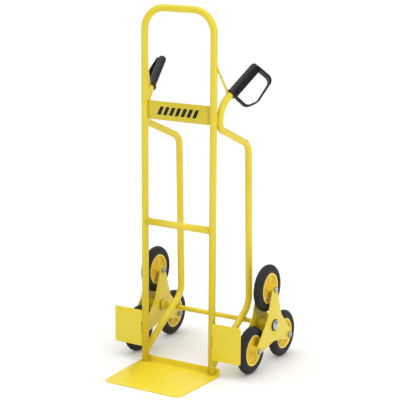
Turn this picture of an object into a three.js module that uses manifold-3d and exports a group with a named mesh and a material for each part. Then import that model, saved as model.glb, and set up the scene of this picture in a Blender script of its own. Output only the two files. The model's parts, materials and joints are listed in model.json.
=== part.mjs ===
// Stair-climbing hand truck: a bent-tube hoop frame on a steel toe plate, with two side tubes that
// carry guarded hand grips, and an axle with a three-wheeled star turning freely at each end.
//
// Units are millimetres. +Z is up, +X is the truck's width, and -Y is the side of the toe plate.
// The origin lies on the underside of the toe plate, midway between the uprights' centre lines.

import * as THREE from 'three';
import { mergeVertices } from 'three/addons/utils/BufferGeometryUtils.js';
import Module from 'manifold-3d';

const wasm = await Module();
wasm.setup();

// ------------------------------------------------------------------ driving dimensions

const GAP = 0.3;                 // clearance between pieces that touch or are welded
const TUBE_RADIUS = 11;
const TUBE_WALL = 1.5;
const TUBE_SIDES = 14;
const BEND_STEPS = 5;            // straight facets in one tube bend

const HOOP_HALF_WIDTH = 123;     // upright centre line from the middle of the truck
const HOOP_HEIGHT = 1150;
const HOOP_BEND = 70;
const CROSS_TUBE_HEIGHT = 469;

const TOE_THICKNESS = 4;
const TOE_BACK_HALF_WIDTH = 146;
const TOE_FRONT_HALF_WIDTH = 138;
const TOE_REACH = 217;
const TOE_CORNER = 24;            // radius of the front corners
const TOE_FLANGE_TOP = 24;
const TOE_FLANGE_THICKNESS = 3;
const TOE_FLANGE_CORNER = 5;

const PANEL_BOTTOM = 796;
const PANEL_TOP = 854;
const PANEL_THICKNESS = 2.5;
const PANEL_END_TAB = 7;         // width of the set-back tab at each end of the panel
const PANEL_SET_BACK = 3;

const GUARD_INNER = 130.5;
const GUARD_OUTER = 232;
const GUARD_BOTTOM = 58;
const GUARD_TOP = 177;
const GUARD_BACK = -8.8;
const GUARD_THICKNESS = 2.8;
const GUARD_CORNER = 6;

const WHEEL_RADIUS = 76;
const STAR_ARM = 118;            // axle centre to wheel centre
const STAR_PLANE = 210.6;        // middle of a star from the middle of the truck
const STAR_HALF_WIDTH = 28.7;
const STAR_PLATE = 3;
const STAR_TIP = 15;             // radius of a plate's rounded arm tip
const STAR_FLARE = 18;           // degrees by which an arm's edges open towards the hub
const STAR_VALLEY = 30;          // fillet between two arms
const STAR_ARMS = { top: 90, front: 210, rear: 330 };

const AXLE_Y = 194.5;
const AXLE_Z = WHEEL_RADIUS + STAR_ARM * Math.sin(Math.PI / 6);
const AXLE_RADIUS = 8;
const HUB_TUBE_RADIUS = 17;
const COLLAR_RADIUS = 18;
const COLLAR_LENGTH = 13;
const WASHER_RADIUS = 19.5;
const WASHER_THICKNESS = 2.4;
const CAP_RADIUS = 16.5;
const CAP_HEIGHT = 8;

const BOLT_RADIUS = 5;
const BOLT_HEX = 17;             // across flats
const BOLT_HEAD = 6.4;
const NUT_HEIGHT = 8;
const THREAD_OVERHANG = 2;
const SPACER_RADIUS = 7.7;

const RIM_RADIUS = 50;           // outside of the hub's lips
const RIM_HALF_WIDTH = 12;
const RIM_LIP_WIDTH = 3.4;
const TYRE_SEAT = 46;            // bottom of the channel that holds the tyre
const TYRE_HALF_WIDTH = 14.6;
const TYRE_WIDEST = 57.8;        // radius at which the tyre is widest
const TREAD_HALF_WIDTH = 3.5;
const BOSS_RADIUS = 14;
const BOSS_HALF_WIDTH = 25;
const WEB_HALF_THICKNESS = 3;
const HUB_RIBS = 5;
const HUB_RIB_HALF_WIDTH = 9;
const HUB_RIB_THICKNESS = 4;

// Right-hand side tube, from its foot on the upright to the start of the grip.
const SIDE_TUBE = [
  { at: [126, 4, 39] },
  { at: [128.5, 225.5, 177.4], bend: 62 },
  { at: [128, 208.4, 705], bend: 44 },
  { at: [134, 19.5, 783], bend: 26 },
];
const LAST_BEND = 60;             // from the last bend's corner to the grip's lower end
const LAST_BEND_RADIUS = 94;
const GRIP_BASE = [143.7, 67.6, 884.8];
const GRIP_AXIS = [0.191, 0.8, 0.569];
const LOOP_ROLL = 47.5;           // degrees by which the hand guard hangs below level
const GRIP_LENGTH = 134;
const TUBE_IN_GRIP = 100;
const GRIP_BORE = TUBE_RADIUS + 0.5;
const GRIP_RIB = 20;             // from the grip's axis to the raised flat on the fingers' side
const GRIP_RIB_HALF_WIDTH = 6;
const LOOP_WIDTH = 16.5;
const LOOP_FLARE = 7;            // how much wider the upper half of the hand guard is, on its top side
const LOOP_THICKNESS = 5.2;

const BRACE_RADIUS = 3.5;
const BRACE_TOP = 985;
const BRACE_TO_GRIP = 10;        // from the brace's foot to the grip's lower end

// ------------------------------------------------------------------ materials

const finish = (name, color, roughness, metalness) =>
  new THREE.MeshStandardMaterial({ name, color, roughness, metalness });

const paint = () => finish('yellow powder coat', 0xf2d835, 0.38, 0.1);
const rubber = () => finish('tyre rubber', 0x2b2b2d, 0.8, 0);
const hubPlastic = () => finish('hub plastic', 0xf0bd2e, 0.45, 0);
const gripPlastic = () => finish('grip plastic', 0x1d1d1f, 0.5, 0);
const zinc = () => finish('zinc plate', 0xb9bcc0, 0.35, 0.9);
const chrome = () => finish('chrome', 0xd5d7da, 0.15, 1);
const blackPlastic = () => finish('black plastic', 0x19191b, 0.55, 0);

// ------------------------------------------------------------------ solid geometry helpers

const radians = THREE.MathUtils.degToRad;

// The closed solid that a geometry bounds, ready to be cut or joined.
function solid(geometry) {
  const bare = geometry.clone();
  bare.deleteAttribute('normal');
  bare.deleteAttribute('uv');
  const merged = mergeVertices(bare);
  const corners = merged.index.array;
  const kept = [];
  for (let i = 0; i < corners.length; i += 3) {
    const [a, b, c] = [corners[i], corners[i + 1], corners[i + 2]];
    if (a !== b && b !== c && c !== a) kept.push(a, b, c);
  }
  return new wasm.Manifold(new wasm.Mesh({
    numProp: 3,
    vertProperties: merged.attributes.position.array,
    triVerts: Uint32Array.from(kept),
  }));
}

function geometryOf(body) {
  const mesh = body.getMesh();
  const geometry = new THREE.BufferGeometry();
  geometry.setAttribute('position', new THREE.BufferAttribute(mesh.vertProperties, 3));
  geometry.setIndex(new THREE.BufferAttribute(mesh.triVerts, 1));
  geometry.computeVertexNormals();
  return geometry;
}

function cut(geometry, ...tools) {
  return geometryOf(tools.reduce((body, tool) => body.subtract(solid(tool)), solid(geometry)));
}

function join(...geometries) {
  return geometryOf(geometries.map(solid).reduce((body, other) => body.add(other)));
}

// A solid of revolution about X. The profile's points are [along X, radius], and the side away
// from the axis is walked towards +X.
function turned(profile, segments = 24) {
  const points = profile.map(([along, radius]) => new THREE.Vector2(radius, along));
  return new THREE.LatheGeometry(points, segments).rotateZ(-Math.PI / 2);
}

function ringAboutX(from, to, innerRadius, outerRadius, segments = 24) {
  return turned([
    [from, innerRadius], [from, outerRadius], [to, outerRadius], [to, innerRadius], [from, innerRadius],
  ], segments);
}

function rodAboutX(from, to, radius, segments = 24) {
  return turned([[from, 0], [from, radius], [to, radius], [to, 0]], segments);
}

// An outline in the Y-Z plane, extruded along +X from the given place.
function slabAcrossX(shape, from, thickness, curveSegments = 8) {
  const geometry = new THREE.ExtrudeGeometry(shape, { depth: thickness, bevelEnabled: false, curveSegments });
  const basis = new THREE.Matrix4().makeBasis(
    new THREE.Vector3(0, 1, 0), new THREE.Vector3(0, 0, 1), new THREE.Vector3(1, 0, 0));
  return geometry.applyMatrix4(basis).translate(from, 0, 0);
}

// An outline in the X-Z plane, extruded along +Y from the given place.
function slabAcrossY(shape, from, thickness, curveSegments = 8) {
  const geometry = new THREE.ExtrudeGeometry(shape, { depth: thickness, bevelEnabled: false, curveSegments });
  return geometry.rotateX(Math.PI / 2).translate(0, from + thickness, 0);
}

function box(low, high) {
  const size = high.map((value, axis) => value - low[axis]);
  const middle = high.map((value, axis) => (value + low[axis]) / 2);
  return new THREE.BoxGeometry(...size).translate(...middle);
}

function circle(radius, y = 0, x = 0) {
  return new THREE.Path().absarc(x, y, radius, 0, 2 * Math.PI);
}

function polygon(points) {
  return new THREE.Shape(points.map(([x, y]) => new THREE.Vector2(x, y)));
}

// A closed outline whose corners are rounded by their bend radii, or left sharp without one.
function roundedPolygon(corners, steps = 5) {
  const points = [];
  corners.forEach(({ at, bend = 0 }, i) => {
    const corner = new THREE.Vector2(...at);
    const before = new THREE.Vector2(...corners.at(i - 1).at).sub(corner).normalize();
    const after = new THREE.Vector2(...corners[(i + 1) % corners.length].at).sub(corner).normalize();
    if (bend === 0) {
      points.push(at);
      return;
    }
    const half = Math.acos(before.dot(after)) / 2;
    const middle = before.clone().add(after).normalize();
    const centre = corner.clone().addScaledVector(middle, bend / Math.sin(half));
    const spread = Math.PI / 2 - half;
    const turn = Math.sign(after.cross(before));
    for (let k = 0; k <= steps; k += 1) {
      const angle = turn * spread * (2 * k / steps - 1);
      const arm = middle.clone().multiplyScalar(-bend).rotateAround(new THREE.Vector2(), angle);
      points.push([centre.x + arm.x, centre.y + arm.y]);
    }
  });
  return polygon(points);
}

// The outline of a bolt head or nut, by its width across flats.
function hexagon(acrossFlats) {
  const corner = acrossFlats / Math.sqrt(3);
  const points = [0, 1, 2, 3, 4, 5].map((i) => [
    corner * Math.cos(i * Math.PI / 3),
    corner * Math.sin(i * Math.PI / 3),
  ]);
  return polygon(points);
}

// ------------------------------------------------------------------ bent tubes

// A path of straight runs joined by round bends, walked station by station: one step for each
// straight run and a few for each bend. Each vertex has a place and a bend radius.
class BentPath extends THREE.Curve {
  constructor(vertices, bendSteps = BEND_STEPS) {
    super();
    this.stations = [];
    const places = vertices.map((vertex) => new THREE.Vector3(...vertex.at));
    places.forEach((place, i) => {
      const incoming = i > 0 ? place.clone().sub(places[i - 1]).normalize() : null;
      const outgoing = i < places.length - 1 ? places[i + 1].clone().sub(place).normalize() : null;
      if (!incoming || !outgoing) {
        this.stations.push({ place, heading: incoming ?? outgoing });
        return;
      }
      this.addBend(place, incoming, outgoing, vertices[i].bend, bendSteps);
    });
  }

  addBend(corner, incoming, outgoing, radius, steps) {
    const turn = incoming.angleTo(outgoing);
    const start = corner.clone().addScaledVector(incoming, -radius * Math.tan(turn / 2));
    const inward = outgoing.clone().addScaledVector(incoming, -incoming.dot(outgoing)).normalize();
    const centre = start.clone().addScaledVector(inward, radius);
    for (let i = 0; i <= steps; i += 1) {
      const angle = turn * i / steps;
      const place = centre.clone()
        .addScaledVector(inward, -radius * Math.cos(angle))
        .addScaledVector(incoming, radius * Math.sin(angle));
      const heading = incoming.clone().multiplyScalar(Math.cos(angle))
        .addScaledVector(inward, Math.sin(angle));
      this.stations.push({ place, heading });
    }
  }

  get steps() {
    return this.stations.length - 1;
  }

  station(u) {
    return this.stations[Math.round(u * this.steps)];
  }

  getPointAt(u, target = new THREE.Vector3()) {
    return target.copy(this.station(u).place);
  }

  getPoint(u, target) {
    return this.getPointAt(u, target);
  }

  getTangentAt(u, target = new THREE.Vector3()) {
    return target.copy(this.station(u).heading);
  }
}

function roundSection(radius, sides) {
  return Array.from({ length: sides }, (_, i) => [
    radius * Math.cos(2 * Math.PI * i / sides),
    radius * Math.sin(2 * Math.PI * i / sides),
  ]);
}

// Sweeps a section along a bent path, with an optional bore.
function swept(path, section, bore = null) {
  const shape = polygon(section);
  if (bore) shape.holes.push(polygon(bore));
  return new THREE.ExtrudeGeometry(shape, { steps: path.steps, extrudePath: path });
}

function bentTube(vertices) {
  return swept(
    new BentPath(vertices),
    roundSection(TUBE_RADIUS, TUBE_SIDES),
    roundSection(TUBE_RADIUS - TUBE_WALL, TUBE_SIDES));
}

function straightRod(from, to, radius, sides = 16) {
  return swept(new BentPath([{ at: from }, { at: to }]), roundSection(radius, sides));
}

// The space that a straight tube with its weld gap takes from a neighbour.
function tubeClearance(from, to) {
  return straightRod(from, to, (TUBE_RADIUS + GAP) / Math.cos(Math.PI / 24), 24);
}

function uprightClearance(side) {
  const x = side * HOOP_HALF_WIDTH;
  return tubeClearance([x, 0, -10], [x, 0, HOOP_HEIGHT - HOOP_BEND]);
}

// ------------------------------------------------------------------ frame

function hoopFrame() {
  const top = HOOP_HEIGHT - TUBE_RADIUS;
  const foot = TOE_THICKNESS + GAP;
  return bentTube([
    { at: [-HOOP_HALF_WIDTH, 0, foot] },
    { at: [-HOOP_HALF_WIDTH, 0, top], bend: HOOP_BEND },
    { at: [HOOP_HALF_WIDTH, 0, top], bend: HOOP_BEND },
    { at: [HOOP_HALF_WIDTH, 0, foot] },
  ]);
}

function crossTube() {
  const tube = bentTube([
    { at: [-HOOP_HALF_WIDTH, 0, CROSS_TUBE_HEIGHT] },
    { at: [HOOP_HALF_WIDTH, 0, CROSS_TUBE_HEIGHT] },
  ]);
  return cut(tube, uprightClearance(-1), uprightClearance(1));
}

// A flat panel whose ends are pressed back a little where they meet the uprights.
function namePanel() {
  const end = HOOP_HALF_WIDTH - TUBE_RADIUS + 1;
  const step = end - PANEL_END_TAB;
  const front = -PANEL_SET_BACK - PANEL_THICKNESS / 2;
  const tabFront = front + PANEL_SET_BACK;
  const outline = polygon([
    [-end, tabFront], [-step, tabFront], [-step + PANEL_SET_BACK, front],
    [step - PANEL_SET_BACK, front], [step, tabFront], [end, tabFront],
    [end, tabFront + PANEL_THICKNESS], [step - 1, tabFront + PANEL_THICKNESS],
    [step - 1 - PANEL_SET_BACK, front + PANEL_THICKNESS],
    [1 + PANEL_SET_BACK - step, front + PANEL_THICKNESS],
    [1 - step, tabFront + PANEL_THICKNESS], [-end, tabFront + PANEL_THICKNESS],
  ]);
  const plate = new THREE.ExtrudeGeometry(outline, { depth: PANEL_TOP - PANEL_BOTTOM, bevelEnabled: false });
  return cut(plate.translate(0, 0, PANEL_BOTTOM), uprightClearance(-1), uprightClearance(1));
}

// The load plate, tapered to the front, with its back edge turned up behind the uprights.
function toePlate() {
  const flangeFront = TUBE_RADIUS + GAP;
  const flangeBack = flangeFront + TOE_FLANGE_THICKNESS;
  const outline = roundedPolygon([
    { at: [-TOE_BACK_HALF_WIDTH, flangeBack] },
    { at: [-TOE_BACK_HALF_WIDTH, 0] },
    { at: [-TOE_FRONT_HALF_WIDTH, -TOE_REACH], bend: TOE_CORNER },
    { at: [TOE_FRONT_HALF_WIDTH, -TOE_REACH], bend: TOE_CORNER },
    { at: [TOE_BACK_HALF_WIDTH, 0] },
    { at: [TOE_BACK_HALF_WIDTH, flangeBack] },
  ]);
  const plate = new THREE.ExtrudeGeometry(outline, { depth: TOE_THICKNESS, bevelEnabled: false });
  const flange = roundedPolygon([
    { at: [-TOE_BACK_HALF_WIDTH, 0] },
    { at: [TOE_BACK_HALF_WIDTH, 0] },
    { at: [TOE_BACK_HALF_WIDTH, TOE_FLANGE_TOP], bend: TOE_FLANGE_CORNER },
    { at: [-TOE_BACK_HALF_WIDTH, TOE_FLANGE_TOP], bend: TOE_FLANGE_CORNER },
  ]);
  return join(plate, slabAcrossY(flange, flangeFront, TOE_FLANGE_THICKNESS));
}

// The steel plate in front of each lower wheel, with two rounded outer corners.
function guardPlate(side) {
  const outline = roundedPolygon([
    { at: [side * GUARD_INNER, GUARD_BOTTOM] },
    { at: [side * GUARD_OUTER, GUARD_BOTTOM], bend: GUARD_CORNER },
    { at: [side * GUARD_OUTER, GUARD_TOP], bend: GUARD_CORNER },
    { at: [side * GUARD_INNER, GUARD_TOP] },
  ]);
  return slabAcrossY(outline, GUARD_BACK - GUARD_THICKNESS, GUARD_THICKNESS);
}

// ------------------------------------------------------------------ side tubes and grips

const mirrored = ([x, y, z], side) => [side * x, y, z];

// The grip's own frame: X along the grip, Y towards its guard loop, which points away from the
// truck and rolls down from level by the given angle.
function gripFrame(side) {
  const along = new THREE.Vector3(...mirrored(GRIP_AXIS, side)).normalize();
  const level = new THREE.Vector3(side, 0, 0).addScaledVector(along, -side * along.x).normalize();
  const out = level.applyAxisAngle(along, radians(side * LOOP_ROLL));
  const base = new THREE.Vector3(...mirrored(GRIP_BASE, side));
  return { along, out, base, normal: along.clone().cross(out) };
}

function onGripAxis(side, distance) {
  const { along, base } = gripFrame(side);
  return base.clone().addScaledVector(along, distance).toArray();
}

function sideTube(side) {
  const vertices = SIDE_TUBE.map(({ at, bend }) => ({ at: mirrored(at, side), bend }));
  vertices.push({ at: onGripAxis(side, -LAST_BEND), bend: LAST_BEND_RADIUS });
  vertices.push({ at: onGripAxis(side, TUBE_IN_GRIP) });
  return cut(bentTube(vertices), uprightClearance(side));
}

// A thin rod that props the side tube's top end on the upright.
function braceRod(side) {
  const top = [side * HOOP_HALF_WIDTH, 6, BRACE_TOP];
  const foot = onGripAxis(side, -BRACE_TO_GRIP);
  const tubeEnd = tubeClearance(onGripAxis(side, -30), onGripAxis(side, TUBE_IN_GRIP));
  return cut(straightRod(top, foot, BRACE_RADIUS, 12), uprightClearance(side), tubeEnd);
}

// The section of the hand guard's strap, from one edge to the other, with its corners cut off.
function strapSection(from, to) {
  const t = LOOP_THICKNESS / 2;
  const c = LOOP_THICKNESS / 3;
  return [
    [from, t - c], [from, c - t], [from + c, -t], [to - c, -t],
    [to, c - t], [to, t - c], [to - c, t], [from + c, t],
  ];
}

// A moulded sleeve over the tube end with a flared collar, a raised flat under the fingers, and a
// hand guard beside it whose strap grows wider towards the grip's upper end.
function grip(side) {
  const sleeve = turned([
    [-4, GRIP_BORE], [-4, 15.6], [0, 16.6], [5, 13], [120, 13], [129, 11.5], [GRIP_LENGTH, 7],
    [GRIP_LENGTH, 0], [TUBE_IN_GRIP + 4, 0], [TUBE_IN_GRIP + 4, GRIP_BORE], [-4, GRIP_BORE],
  ], 20);
  const crown = { at: [131, 65, 0], bend: 20 };
  const end = { at: [127, 2, 0] };
  const strap = new BentPath([
    { at: [3, 13, 0] }, { at: [3, 61, 0], bend: 20 }, { at: [42, 77, 0], bend: 40 }, crown, end], 4);
  const flare = new BentPath([{ at: [64, 74, 0] }, crown, end], 4);
  const half = LOOP_WIDTH / 2;
  const narrow = strapSection(-half, half);
  const wide = side < 0 ? strapSection(-half - LOOP_FLARE, half) : strapSection(-half, half + LOOP_FLARE);
  const rib = box(
    [2, 0, -GRIP_RIB_HALF_WIDTH], [GRIP_LENGTH - 8, GRIP_RIB, GRIP_RIB_HALF_WIDTH]);
  const bore = rodAboutX(-10, TUBE_IN_GRIP + 4, GRIP_BORE, 20);
  return cut(join(sleeve, swept(strap, narrow), swept(flare, wide), rib), bore);
}

// ------------------------------------------------------------------ axle

function axle() {
  const half = STAR_PLANE + STAR_HALF_WIDTH + GAP + WASHER_THICKNESS + GAP + CAP_HEIGHT - 3;
  return rodAboutX(-half, half, AXLE_RADIUS);
}

function axleCollar() {
  return ringAboutX(-COLLAR_LENGTH, 0, AXLE_RADIUS + GAP, COLLAR_RADIUS);
}

function axleWasher() {
  return ringAboutX(0, WASHER_THICKNESS, AXLE_RADIUS + GAP, WASHER_RADIUS);
}

// A domed push-on cap with a blind bore for the end of the axle.
function axleCap() {
  const bore = AXLE_RADIUS + GAP;
  const depth = CAP_HEIGHT - 3 + GAP;
  return turned([
    [0, bore], [0, CAP_RADIUS], [2, CAP_RADIUS], [4.5, CAP_RADIUS - 2.5], [6.8, CAP_RADIUS - 7],
    [CAP_HEIGHT, 0], [depth, 0], [depth, bore], [0, bore],
  ], 20);
}

// ------------------------------------------------------------------ stars

// Centre of one wheel, from the axle, as [y, z].
function armEnd(degrees) {
  return [STAR_ARM * Math.cos(radians(degrees)), STAR_ARM * Math.sin(radians(degrees))];
}

// The three-armed plate: round tips, edges that flare towards the hub, and filleted valleys.
function starOutline() {
  const flare = radians(STAR_FLARE);
  const points = [];
  Object.values(STAR_ARMS).forEach((degrees) => {
    const arm = radians(degrees);
    const [tipY, tipZ] = armEnd(degrees);
    const tipSteps = 6;
    for (let i = 0; i <= tipSteps; i += 1) {
      const reach = Math.PI / 2 - flare;
      const angle = arm - reach + 2 * reach * i / tipSteps;
      points.push([tipY + STAR_TIP * Math.cos(angle), tipZ + STAR_TIP * Math.sin(angle)]);
    }
    points.push(...starValley(arm + Math.PI / 3, flare));
  });
  return polygon(points);
}

// The arc that rounds the corner where the edges of two arms meet, centred on their bisector.
function starValley(bisector, flare) {
  const edgeDistance = STAR_ARM * Math.sin(flare) + STAR_TIP;
  const half = Math.PI / 6 - flare;
  const centre = (edgeDistance + STAR_VALLEY) / Math.cos(half);
  return [1, 0.5, 0, -0.5, -1].map((turn) => {
    const angle = bisector + Math.PI + turn * half;
    return [
      centre * Math.cos(bisector) + STAR_VALLEY * Math.cos(angle),
      centre * Math.sin(bisector) + STAR_VALLEY * Math.sin(angle),
    ];
  });
}

function starPlate(from) {
  const outline = starOutline();
  outline.holes.push(circle(AXLE_RADIUS + GAP));
  Object.values(STAR_ARMS).forEach((degrees) => {
    const [y, z] = armEnd(degrees);
    outline.holes.push(new THREE.Path().absarc(y, z, BOLT_RADIUS + GAP, 0, 2 * Math.PI));
  });
  return slabAcrossX(outline, from, STAR_PLATE, 8);
}

function starHubTube() {
  const half = STAR_HALF_WIDTH - STAR_PLATE - GAP;
  return ringAboutX(-half, half, AXLE_RADIUS + GAP, HUB_TUBE_RADIUS);
}

function starSpacer() {
  const half = STAR_HALF_WIDTH - STAR_PLATE - GAP;
  return ringAboutX(-half, half, BOLT_RADIUS + GAP, SPACER_RADIUS, 16);
}

function starBolt() {
  const seat = STAR_HALF_WIDTH + GAP;
  const end = -(STAR_HALF_WIDTH + GAP + NUT_HEIGHT + THREAD_OVERHANG);
  const head = slabAcrossX(hexagon(BOLT_HEX), seat, BOLT_HEAD);
  return join(head, rodAboutX(end, seat + 1, BOLT_RADIUS, 16));
}

function starNut() {
  const hex = hexagon(BOLT_HEX);
  hex.holes.push(circle(BOLT_RADIUS + GAP));
  return slabAcrossX(hex, -(STAR_HALF_WIDTH + GAP + NUT_HEIGHT), NUT_HEIGHT, 8);
}

// ------------------------------------------------------------------ wheels

// A solid tyre that fills the channel between its hub's lips, with an oval section.
function tyre() {
  const seat = TYRE_SEAT + GAP;
  const channel = RIM_HALF_WIDTH - RIM_LIP_WIDTH - GAP;
  const foot = RIM_RADIUS + GAP;
  const height = WHEEL_RADIUS - TYRE_WIDEST;
  const lip = TYRE_HALF_WIDTH * Math.sqrt(1 - ((TYRE_WIDEST - foot) / height) ** 2);
  const shoulder = [90, 60, 33].map((degrees) => [
    TYRE_HALF_WIDTH * Math.sin(radians(degrees)),
    TYRE_WIDEST + height * Math.cos(radians(degrees)),
  ]);
  const half = [[channel, seat], [channel, foot], [lip, foot], ...shoulder, [TREAD_HALF_WIDTH, WHEEL_RADIUS]];
  const other = half.map(([along, radius]) => [-along, radius]);
  return turned([...other, ...half.reverse(), other[0]], 24);
}

// A moulded hub: a channel between two lips, a recessed web with ribs, and a long centre boss.
function wheelHub() {
  const bore = SPACER_RADIUS + 2 * GAP;
  const lip = RIM_HALF_WIDTH;
  const channel = lip - RIM_LIP_WIDTH;
  const body = turned([
    [-BOSS_HALF_WIDTH, bore], [-BOSS_HALF_WIDTH, BOSS_RADIUS], [-WEB_HALF_THICKNESS, BOSS_RADIUS],
    [-WEB_HALF_THICKNESS, TYRE_SEAT - 3], [-lip, TYRE_SEAT], [-lip, RIM_RADIUS],
    [-channel, RIM_RADIUS], [-channel, TYRE_SEAT], [channel, TYRE_SEAT], [channel, RIM_RADIUS],
    [lip, RIM_RADIUS], [lip, TYRE_SEAT], [WEB_HALF_THICKNESS, TYRE_SEAT - 3],
    [WEB_HALF_THICKNESS, BOSS_RADIUS], [BOSS_HALF_WIDTH, BOSS_RADIUS], [BOSS_HALF_WIDTH, bore],
    [-BOSS_HALF_WIDTH, bore],
  ], 24);
  const ribs = Array.from({ length: HUB_RIBS }, (_, i) => {
    const rib = box(
      [-HUB_RIB_HALF_WIDTH, -HUB_RIB_THICKNESS / 2, BOSS_RADIUS - 2],
      [HUB_RIB_HALF_WIDTH, HUB_RIB_THICKNESS / 2, TYRE_SEAT - 1]);
    return rib.rotateX(2 * Math.PI * i / HUB_RIBS);
  });
  return join(body, ...ribs);
}

// ------------------------------------------------------------------ assembly

const truck = new THREE.Group();
truck.name = 'stair_climbing_hand_truck';

function add(parent, name, geometry, material, place = [0, 0, 0]) {
  const mesh = new THREE.Mesh(geometry, material);
  mesh.name = name;
  mesh.position.set(...place);
  parent.add(mesh);
  return mesh;
}

add(truck, 'hoop_frame', hoopFrame(), paint());
add(truck, 'cross_tube', crossTube(), paint());
add(truck, 'name_panel', namePanel(), paint());
add(truck, 'toe_plate', toePlate(), paint());
add(truck, 'axle', axle(), paint(), [0, AXLE_Y, AXLE_Z]);

// A group at one end of the axle whose +X points away from the truck's middle.
function axleEnd(side) {
  const group = new THREE.Group();
  group.position.set(side * STAR_PLANE, AXLE_Y, AXLE_Z);
  group.rotation.z = side < 0 ? Math.PI : 0;
  truck.add(group);
  return group;
}

for (const [word, side] of [['left', -1], ['right', 1]]) {
  add(truck, `${word}_guard_plate`, guardPlate(side), paint());
  add(truck, `${word}_side_tube`, sideTube(side), paint());
  add(truck, `${word}_brace_rod`, braceRod(side), paint());

  const { along, out, normal } = gripFrame(side);
  const gripMesh = add(truck, `${word}_grip`, grip(side), gripPlastic(), mirrored(GRIP_BASE, side));
  gripMesh.quaternion.setFromRotationMatrix(new THREE.Matrix4().makeBasis(along, out, normal));

  const end = axleEnd(side);
  add(end, `${word}_axle_collar`, axleCollar(), paint(), [-STAR_HALF_WIDTH - GAP, 0, 0]);
  add(end, `${word}_axle_washer`, axleWasher(), blackPlastic(), [STAR_HALF_WIDTH + GAP, 0, 0]);
  const capSeat = STAR_HALF_WIDTH + GAP + WASHER_THICKNESS + GAP;
  add(end, `${word}_axle_cap`, axleCap(), chrome(), [capSeat, 0, 0]);

  add(end, `${word}_star_outer_plate`, starPlate(STAR_HALF_WIDTH - STAR_PLATE), paint());
  add(end, `${word}_star_inner_plate`, starPlate(-STAR_HALF_WIDTH), paint());
  add(end, `${word}_star_hub_tube`, starHubTube(), paint());

  for (const [arm, degrees] of Object.entries(STAR_ARMS)) {
    const [y, z] = armEnd(degrees);
    const wheel = new THREE.Group();
    wheel.position.set(0, side * y, z);
    end.add(wheel);
    add(wheel, `${word}_${arm}_bolt`, starBolt(), zinc());
    add(wheel, `${word}_${arm}_nut`, starNut(), zinc());
    add(wheel, `${word}_${arm}_spacer`, starSpacer(), zinc());
    add(wheel, `${word}_${arm}_wheel_hub`, wheelHub(), hubPlastic());
    add(wheel, `${word}_${arm}_tyre`, tyre(), rubber());
  }
}

export default truck;
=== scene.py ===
"""Stair-climbing hand truck: the looks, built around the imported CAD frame.

Everything is in metres in the CAD's own frame: +Z up, +X across the truck, -Y towards the front edge
of the toe plate. Places come from the CAD nodes' boxes and from the joints; the bend points of the
tubes and the frame of each grip repeat the CAD's own. A stand-in's size is compared with its node's,
apart from the rods and collars, which the CAD cuts to fit their neighbours.
"""

import json
from math import acos, atan2, ceil, cos, degrees, hypot, pi, radians, sin, sqrt, tan

import bmesh
import bpy
from mathutils import Matrix, Vector


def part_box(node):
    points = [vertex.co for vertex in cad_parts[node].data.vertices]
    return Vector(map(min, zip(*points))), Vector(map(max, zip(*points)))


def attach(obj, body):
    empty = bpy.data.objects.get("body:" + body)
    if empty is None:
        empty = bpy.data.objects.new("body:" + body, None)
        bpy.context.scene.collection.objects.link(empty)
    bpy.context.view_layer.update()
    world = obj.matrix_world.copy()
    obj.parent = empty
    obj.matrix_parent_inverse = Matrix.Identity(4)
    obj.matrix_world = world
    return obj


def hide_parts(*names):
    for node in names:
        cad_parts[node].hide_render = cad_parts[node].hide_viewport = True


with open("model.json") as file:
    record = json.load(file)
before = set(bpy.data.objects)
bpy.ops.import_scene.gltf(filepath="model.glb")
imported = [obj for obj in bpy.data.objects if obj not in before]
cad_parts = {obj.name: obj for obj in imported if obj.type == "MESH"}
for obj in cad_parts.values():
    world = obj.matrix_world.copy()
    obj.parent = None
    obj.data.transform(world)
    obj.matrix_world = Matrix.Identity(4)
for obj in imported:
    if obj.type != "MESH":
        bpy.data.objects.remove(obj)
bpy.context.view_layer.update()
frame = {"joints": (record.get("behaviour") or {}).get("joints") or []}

MM = 0.001
SIDES = {"left": -1, "right": 1}
ARMS = ("top", "front", "rear")
JOINT_PLACES = {joint["name"]: Vector(joint["pos_m"]) for joint in frame["joints"]}
FIT = 3 * MM  # how far a stand-in may differ from its CAD node's box
GAP = 0.3 * MM  # the CAD's clearance between pieces that touch
SAME_POINT = 1e-6
SHARP_ANGLE = 35  # degrees: a sharper edge isn't smoothed over
SOFT_ANGLE = 60  # the same for mouldings and weld beads


# ---- bend points shared with the CAD

TUBE_RADIUS = 11 * MM
UPRIGHT_X = 123 * MM
HOOP_BEND = 70 * MM
CROSS_TUBE_INSET = 3 * MM  # from an upright's axis to the cross tube's end
BRACE_RADIUS = 3.5 * MM
BRACE_TOP = Vector((UPRIGHT_X, 6 * MM, 985 * MM))

# Right-hand side tube: (bend point, bend radius). The left one is its mirror image.
SIDE_TUBE = [
    ((126, 4, 39), 0),
    ((128.5, 225.5, 177.4), 62),
    ((128, 208.4, 705), 44),
    ((134, 19.5, 783), 26),
]
LAST_BEND = -60 * MM  # along the grip's axis, from the grip's lower end
LAST_BEND_RADIUS = 94
TUBE_IN_GRIP = 100 * MM
BRACE_TO_GRIP = -10 * MM
GRIP_BASE = Vector((143.7, 67.6, 884.8)) * MM
GRIP_AXIS = Vector((0.191, 0.8, 0.569)).normalized()


# ---- mesh code

def mirrored(point, side):
    """A point of the right-hand side, or its mirror image on the left."""
    return Vector((side * point[0], point[1], point[2]))


def combine(*meshes):
    """One (vertices, faces) pair from several."""
    vertices, faces = [], []
    for more_vertices, more_faces in meshes:
        start = len(vertices)
        vertices.extend(more_vertices)
        faces.extend([tuple(start + i for i in face) for face in more_faces])
    return vertices, faces


def moved(mesh, matrix):
    vertices, faces = mesh
    return [matrix @ Vector(v) for v in vertices], faces


def to_bmesh(mesh):
    vertices, faces = mesh
    bm = bmesh.new()
    made = [bm.verts.new(v) for v in vertices]
    for face in faces:
        bm.faces.new([made[i] for i in face])
    return bm


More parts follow.
